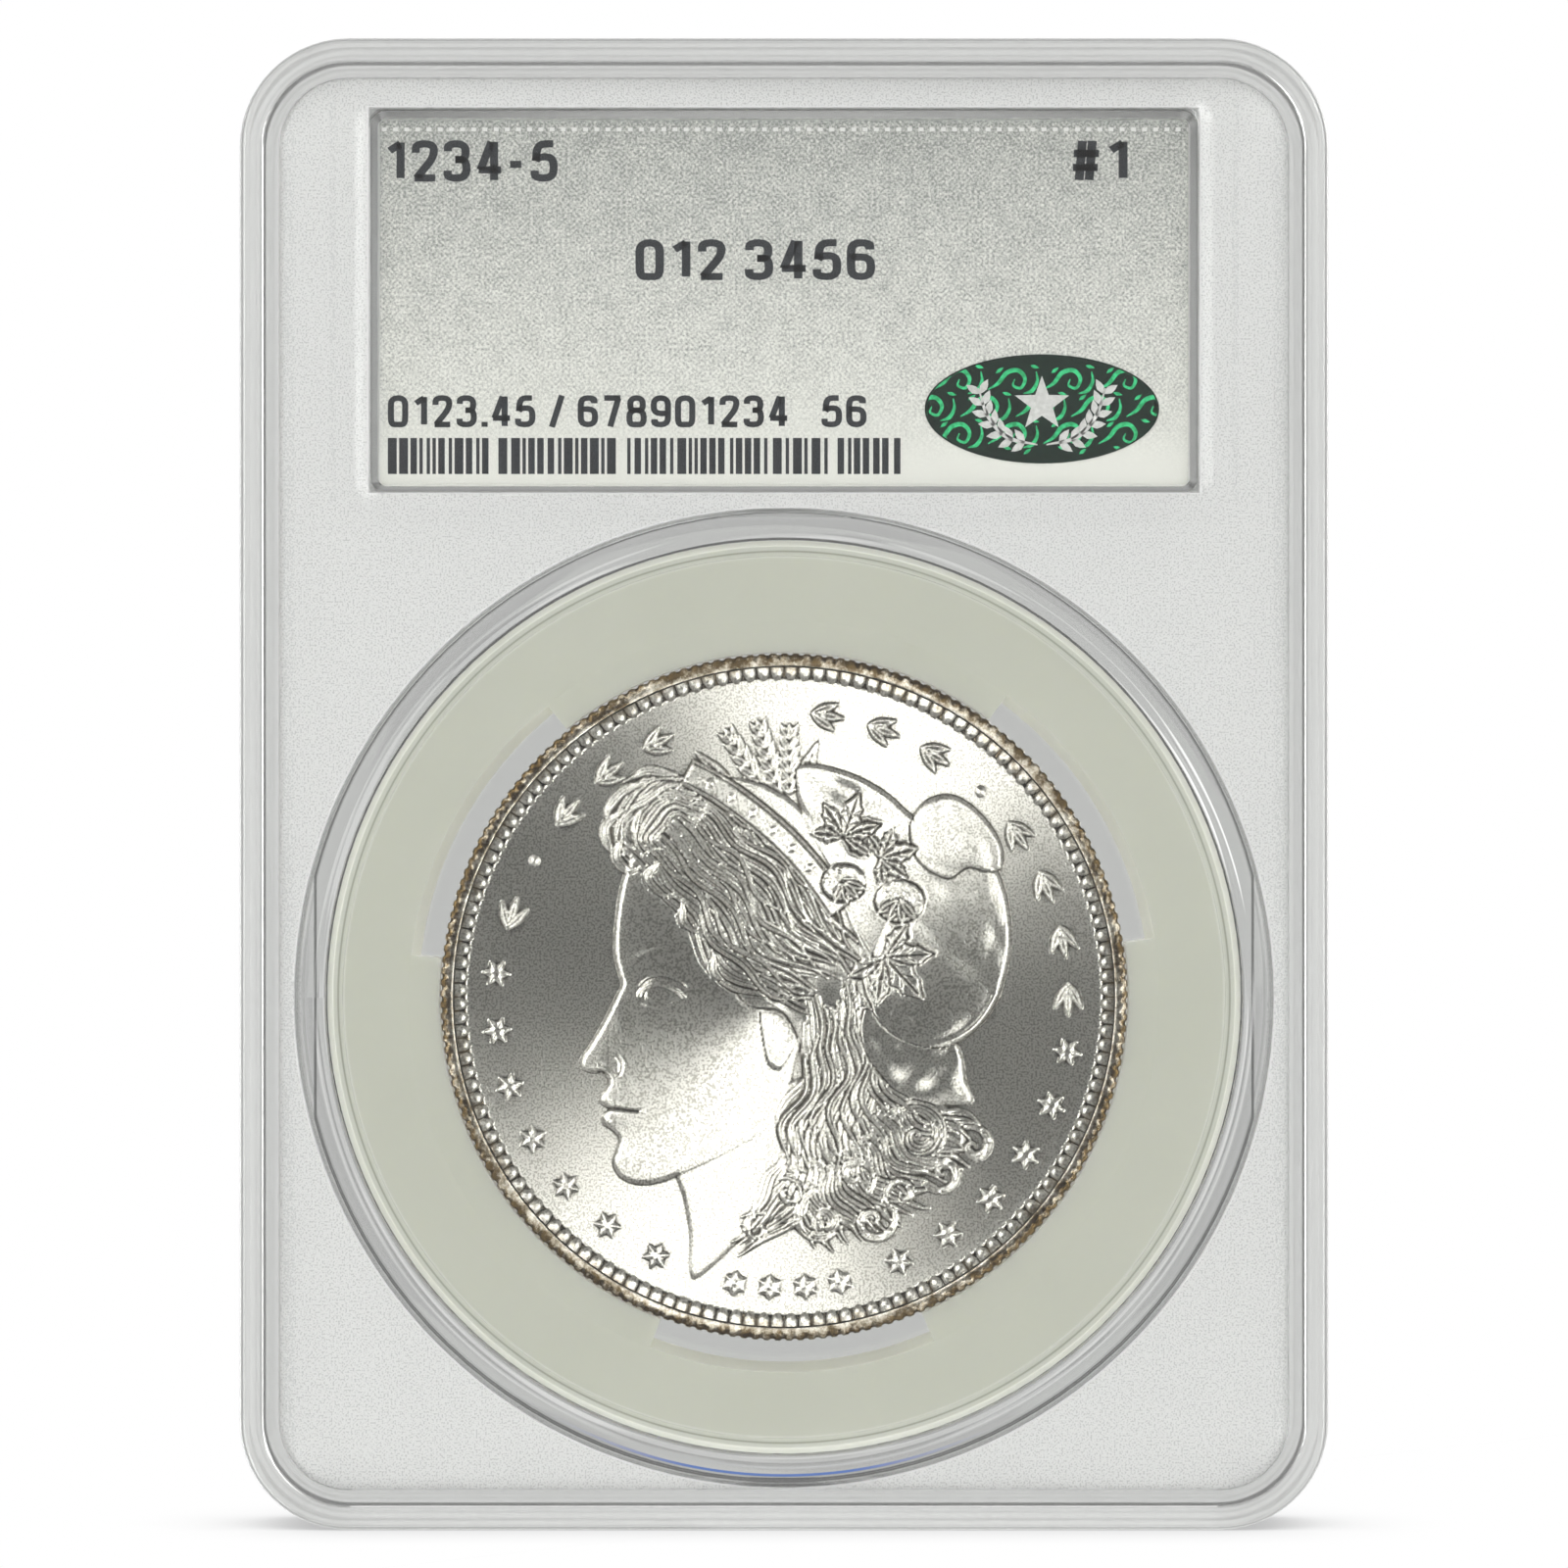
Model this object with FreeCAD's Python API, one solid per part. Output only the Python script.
"""Graded coin slab: a silver dollar sealed between two clear polystyrene shells.

Row frame, millimetres: +Z up, the front face looks along -Y, and the origin is the
middle of the bottom edge, on the plane where the two shells meet.

Every piece is drawn lying on its back, with X across the slab, Y up the slab and Z out
of the front face. stand_up() then turns it into the row frame.
"""

import FreeCAD
import Part

import math
import os

Vector = FreeCAD.Vector
Z_AXIS = Vector(0, 0, 1)
ORIGIN = Vector(0, 0, 0)

# The slab as a whole
SLAB_W = 60.0
SLAB_H = 82.2
CORNER_R = 6.0
FACE_Z = 3.2  # the flat front and back faces, from the middle plane
RIM_Z = 4.0  # the highest point of the rims, so the slab is 8 mm thick
SHELF_Z = 3.55  # the step that the next slab in a stack sits on
WALL = 2.2  # the side wall, which is also the whole rim's width
RIM_W = 1.35  # the flat top of the front rim
STACK_PLAY = 0.15  # between the front rim and the back rib of the slab stacked on it
PLATE_T = 1.6  # the plates over the coin and the label
CAVITY_Z = FACE_Z - PLATE_T
SEAM_GAP = 0.04  # what is left between the shells away from the weld
SEAM_Z = SEAM_GAP / 2
EDGE_ROUND = 0.55
STEP_ROUND = 0.12
WINDOW_STEP = 0.08  # how far the polished windows lie below the frosted face

# Tongue, groove and weld
TONGUE_IN = 0.85  # from the slab's outer side to the tongue
TONGUE_W = 0.6
TONGUE_H = 0.5
TONGUE_ROOT = 0.2  # how deep the tongue is sunk into its shell before they are fused
GROOVE_PLAY = 0.1
BEAD_W = 0.3
BEAD_H = 0.15

# Coin
COIN_R = 19.05
COIN_T = 2.4
COIN_Y = 29.3  # centre of the coin above the bottom edge
RIM_INNER_R = 18.3
BEAD_INNER_R = 17.4
FIELD_DROP = 0.22  # the fields below the rim
DENTICLE_DROP = 0.1  # the ring of denticles below the rim
COIN_BEVEL = 0.15
BEVEL_RUN_OUT = 0.05  # how far the bevel's cutter runs past the coin's side
REEDS = 189
REED_DEPTH = 0.09
REED_CREST = 0.45  # shares of one reed's pitch: flat top, flank, flat bottom
REED_FLANK = 0.15
REED_FLOOR = 0.25

# Prong ring that holds the coin
SEAT_PLAY = 0.05  # radial, between the prongs and the coin
RING_R = 25.3
RING_HALF_T = 1.5
RING_BEVEL = 0.3
RING_LAND_R = 24.4  # outside this the ring's faces step down
RING_LAND_DROP = 0.12
RING_LAND_RUN = 0.05  # the width of that step's slope
PRONG_ROOT_R = 20.8
PRONG_TIP_Z = 1.3  # the prongs thin towards the coin
PRONGS = 3
FIRST_GAP = 31.3  # direction of the first opening, in degrees anticlockwise of +X
GAP_ANGLE = 44.5  # each opening between two prongs, in degrees
GAP_WAIST_R = 20.3  # the openings narrow to this at half thickness
GAP_OVER = 0.1  # how far the openings' cutter stands past the ring's faces
GAP_IN = 2.0  # how far inside the coin's side that cutter starts

# Well that the prong ring drops into
WELL_R = 25.42
WELL_OUTER_R = 26.85
WELL_FLAT_X = 26.0  # the well's wall is cut flat beside the slab's side walls
WINDOW_R = 27.0

# Label pocket
LABEL_Y = 67.8  # centre of the label above the bottom edge
LABEL_W = 44.9
LABEL_H = 20.4
LABEL_T = 0.3
LABEL_CORNER = 0.45
LABEL_GAP = 0.02  # between a card and the middle plane
CARD_FACE_Z = LABEL_GAP + LABEL_T
PAD_Z = 0.45  # the pads that hold the cards reach this close to the middle plane
PAD_BEVEL = 0.4
FRAME_W = 45.8
FRAME_H = 21.2
FRAME_CORNER = 0.9
FENCE_T = 0.75  # wall round the pocket, on the rear shell
FENCE_PLAY = 0.1
FENCE_HEADROOM = 0.3  # between the top of that wall and the front shell's ceiling

# Foil seals
SEAL_T = 0.06
OVAL_W = 13.0
OVAL_H = 6.05
OVAL_X = 14.3  # from the label's centre
OVAL_Y = -5.9
STRIP_W = 16.0
STRIP_H = 9.0
STRIP_CORNER = 1.0

# Working allowances
CUT_OVER = 1.0  # how far a cutter runs past the face that it starts from
LEVEL_TOLERANCE = 1e-4
OUTLINE_TOLERANCE = 1e-3


def rounded_plate(width, height, radius, z_low, z_high, centre_y):
    """A plate with round corners, centred on X = 0 and on centre_y."""
    inner_x = width / 2 - radius
    inner_y = height / 2 - radius
    corners = [(inner_x, inner_y), (-inner_x, inner_y), (-inner_x, -inner_y), (inner_x, -inner_y)]
    arcs = []
    for quarter, (corner_x, corner_y) in enumerate(corners):
        points = []
        for turn in (0, 45, 90):
            angle = math.radians(90 * quarter + turn)
            points.append(Vector(corner_x + radius * math.cos(angle), corner_y + radius * math.sin(angle), 0))
        arcs.append(points)
    edges = []
    for index, (first, middle, last) in enumerate(arcs):
        following = arcs[(index + 1) % len(arcs)][0]
        edges.append(Part.Arc(first, middle, last).toShape())
        edges.append(Part.LineSegment(last, following).toShape())
    plate = Part.Face(Part.Wire(edges)).extrude(Vector(0, 0, z_high - z_low))
    plate.translate(Vector(0, centre_y, z_low))
    return plate


def slab_plate(inset, z_low, z_high):
    """The slab's own outline, drawn in by inset on every side."""
    return rounded_plate(SLAB_W - 2 * inset, SLAB_H - 2 * inset, CORNER_R - inset, z_low, z_high, SLAB_H / 2)


def slab_band(outer_inset, inner_inset, z_low, z_high):
    """A closed band that follows the slab's outline, between two insets."""
    return slab_plate(outer_inset, z_low, z_high).cut(slab_plate(inner_inset, z_low, z_high))


def disc(radius, z_low, z_high):
    """A disc on the coin's axis."""
    return Part.makeCylinder(radius, z_high - z_low, Vector(0, COIN_Y, z_low), Z_AXIS)


def profile_face(profile):
    """A face through the coin's axis, from (radius, z) points."""
    points = [Vector(radius, 0, z) for radius, z in profile]
    return Part.Face(Part.makePolygon(points + points[:1]))


def turned(profile, angle=360):
    """A solid of revolution about the coin's axis, from (radius, z) points."""
    return profile_face(profile).revolve(ORIGIN, Z_AXIS, angle)


def to_coin(shape):
    """Moves a shape drawn about the origin to the coin's centre."""
    shape.translate(Vector(0, COIN_Y, 0))
    return shape


def both_faces(upper):
    """A closed profile from its upper half, which runs outwards, and that half mirrored."""
    return upper + [(radius, -z) for radius, z in reversed(upper)]


def edges_at(shape, z, inset):
    """The edges at height z that follow the slab's outline at this inset."""
    found = []
    radius = CORNER_R - inset
    for edge in shape.Edges:
        box = edge.BoundBox
        if abs(box.ZMin - z) > LEVEL_TOLERANCE or abs(box.ZMax - z) > LEVEL_TOLERANCE:
            continue
        middle = edge.valueAt((edge.FirstParameter + edge.LastParameter) / 2)
        across = SLAB_W / 2 - inset - abs(middle.x)
        along = SLAB_H / 2 - inset - abs(middle.y - SLAB_H / 2)
        if across < radius and along < radius:
            off_line = radius - math.hypot(radius - across, radius - along)
        else:
            off_line = min(abs(across), abs(along))
        if abs(off_line) < OUTLINE_TOLERANCE:
            found.append(edge)
    return found


def hollow():
    """What is hollow in both shells: the cavity, less the well's wall and the label pad."""
    cavity = slab_plate(WALL, SEAM_Z - CUT_OVER, CAVITY_Z)
    well = disc(WELL_OUTER_R, SEAM_Z, CAVITY_Z).cut(disc(WELL_R, SEAM_Z, CAVITY_Z))
    corner = Vector(-WELL_FLAT_X, COIN_Y - WELL_OUTER_R, SEAM_Z)
    between_flats = Part.makeBox(2 * WELL_FLAT_X, 2 * WELL_OUTER_R, CAVITY_Z - SEAM_Z, corner)
    pad = rounded_plate(FRAME_W, FRAME_H, FRAME_CORNER, PAD_Z, CAVITY_Z, LABEL_Y)
    pad_rim = [edge for edge in pad.Edges if edge.BoundBox.ZMax < PAD_Z + LEVEL_TOLERANCE]
    return cavity.cut(well.common(between_flats)).cut(pad.makeChamfer(PAD_BEVEL, pad_rim))


def windows():
    """What is polished away to make the coin window and the label window."""
    low = FACE_Z - WINDOW_STEP
    high = FACE_Z + CUT_OVER
    label_window = rounded_plate(FRAME_W, FRAME_H, FRAME_CORNER, low, high, LABEL_Y)
    return disc(WINDOW_R, low, high).fuse(label_window)


def front_shell():
    shell = slab_plate(0, SEAM_Z, RIM_Z)
    shell = shell.makeFillet(EDGE_ROUND, edges_at(shell, RIM_Z, 0))
    shell = shell.cut(slab_plate(RIM_W, SHELF_Z, RIM_Z + CUT_OVER))
    shell = shell.cut(slab_plate(WALL, FACE_Z, RIM_Z + CUT_OVER))
    shell = shell.makeFillet(STEP_ROUND, edges_at(shell, RIM_Z, RIM_W) + edges_at(shell, SHELF_Z, WALL))
    groove_out = TONGUE_IN - GROOVE_PLAY
    groove_in = TONGUE_IN + TONGUE_W + GROOVE_PLAY
    groove = slab_band(groove_out, groove_in, SEAM_Z - CUT_OVER, TONGUE_H + BEAD_H)
    return shell.cut(hollow()).cut(groove).cut(windows())


def label_fence():
    """The wall round the label pocket, which reaches into the front shell."""
    inner_w = FRAME_W + 2 * FENCE_PLAY
    inner_h = FRAME_H + 2 * FENCE_PLAY
    outer_w = inner_w + 2 * FENCE_T
    outer_h = inner_h + 2 * FENCE_T
    top = FENCE_HEADROOM - CAVITY_Z
    fence = rounded_plate(outer_w, outer_h, FRAME_CORNER + FENCE_T, top, CAVITY_Z, LABEL_Y)
    return fence.cut(rounded_plate(inner_w, inner_h, FRAME_CORNER, top, CAVITY_Z, LABEL_Y))


def rear_shell():
    """Drawn facing +Z like the front shell, and turned over at the end."""
    rib_out = RIM_W + STACK_PLAY
    rib_in = WALL + STACK_PLAY
    shell = slab_plate(0, SEAM_Z, SHELF_Z)
    shell = shell.makeFillet(EDGE_ROUND, edges_at(shell, SHELF_Z, 0))
    shell = shell.fuse(slab_plate(rib_out, SHELF_Z, RIM_Z))
    shell = shell.cut(slab_plate(rib_in, FACE_Z, RIM_Z + CUT_OVER))
    shell = shell.makeFillet(STEP_ROUND, edges_at(shell, RIM_Z, rib_out) + edges_at(shell, RIM_Z, rib_in))
    tongue = slab_band(TONGUE_IN, TONGUE_IN + TONGUE_W, -TONGUE_H, SEAM_Z + TONGUE_ROOT)
    shell = shell.cut(hollow()).cut(windows())
    shell = shell.fuse(tongue).fuse(label_fence()).removeSplitter()
    return shell.mirror(ORIGIN, Z_AXIS)


def weld_bead():
    """The melted ridge that joins the tongue to the bottom of the groove."""
    outer = TONGUE_IN + (TONGUE_W - BEAD_W) / 2
    return slab_band(outer, outer + BEAD_W, TONGUE_H, TONGUE_H + BEAD_H)


def reeded_outline():
    """The coin's outline: one crest and one groove for each reed."""
    valley_r = COIN_R - REED_DEPTH
    valley_start = REED_CREST + REED_FLANK
    corners = [(0, COIN_R), (REED_CREST, COIN_R), (valley_start, valley_r), (valley_start + REED_FLOOR, valley_r)]
    points = []
    for reed in range(REEDS):
        for share, radius in corners:
            angle = 2 * math.pi * (reed + share) / REEDS
            points.append(Vector(radius * math.cos(angle), radius * math.sin(angle), -COIN_T / 2))
    return Part.makePolygon(points + points[:1])


def coin():
    """A struck silver dollar: reeded edge, bevelled rim, a denticle ring and sunk fields."""
    half = COIN_T / 2
    blank = Part.Face(reeded_outline()).extrude(Vector(0, 0, COIN_T))
    upper = [
        (0, half - FIELD_DROP),
        (BEAD_INNER_R, half - FIELD_DROP),
        (BEAD_INNER_R, half - DENTICLE_DROP),
        (RIM_INNER_R, half - DENTICLE_DROP),
        (RIM_INNER_R, half),
        (COIN_R - COIN_BEVEL, half),
        (COIN_R + BEVEL_RUN_OUT, half - COIN_BEVEL - BEVEL_RUN_OUT),
    ]
    return to_coin(blank.common(turned(both_faces(upper))))


def gap_cutter(direction):
    """One opening between prongs, narrowest at half thickness, centred on this direction."""
    high = RING_HALF_T + GAP_OVER
    start = COIN_R - GAP_IN
    profile = [(start, -high), (PRONG_ROOT_R, -high), (GAP_WAIST_R, 0), (PRONG_ROOT_R, high), (start, high)]
    cutter = turned(profile, GAP_ANGLE)
    cutter.rotate(ORIGIN, Z_AXIS, direction - GAP_ANGLE / 2)
    return cutter


def prong_ring():
    land_z = RING_HALF_T - RING_LAND_DROP
    upper = [
        (COIN_R + SEAT_PLAY, PRONG_TIP_Z),
        (PRONG_ROOT_R, RING_HALF_T),
        (RING_LAND_R, RING_HALF_T),
        (RING_LAND_R + RING_LAND_RUN, land_z),
        (RING_R - RING_BEVEL, land_z),
        (RING_R, land_z - RING_BEVEL),
    ]
    ring = turned(both_faces(upper))
    for prong in range(PRONGS):
        ring = ring.cut(gap_cutter(FIRST_GAP + prong * 360 / PRONGS))
    return to_coin(ring)


def label_card(side):
    """A printed card. side is 1 for the front one and -1 for the rear one."""
    z_low, z_high = sorted((side * LABEL_GAP, side * CARD_FACE_Z))
    return rounded_plate(LABEL_W, LABEL_H, LABEL_CORNER, z_low, z_high, LABEL_Y)


def oval_seal():
    """A foil oval on the front card."""
    ellipse = Part.Ellipse(Vector(OVAL_X, LABEL_Y + OVAL_Y, CARD_FACE_Z), OVAL_W / 2, OVAL_H / 2)
    return Part.Face(Part.Wire([ellipse.toShape()])).extrude(Vector(0, 0, SEAL_T))


def rear_seal():
    """A foil strip on the rear card."""
    return rounded_plate(STRIP_W, STRIP_H, STRIP_CORNER, -CARD_FACE_Z - SEAL_T, -CARD_FACE_Z, LABEL_Y)


def stand_up(shape):
    """From lying on its back to standing on its bottom edge, front towards -Y."""
    standing = shape.copy()
    standing.rotate(ORIGIN, Vector(1, 0, 0), 90)
    return standing


def main():
    pieces = {
        "front_shell": front_shell(),
        "rear_shell": rear_shell(),
        "weld_bead": weld_bead(),
        "prong_ring": prong_ring(),
        "coin": coin(),
        "front_label": label_card(1),
        "rear_label": label_card(-1),
        "oval_seal": oval_seal(),
        "rear_seal": rear_seal(),
    }
    os.makedirs("parts", exist_ok=True)
    for name, shape in pieces.items():
        solid, = stand_up(shape).Solids
        print(name, solid.isValid(), round(solid.Volume, 2))
        solid.exportStep("parts/" + name + ".step")


main()
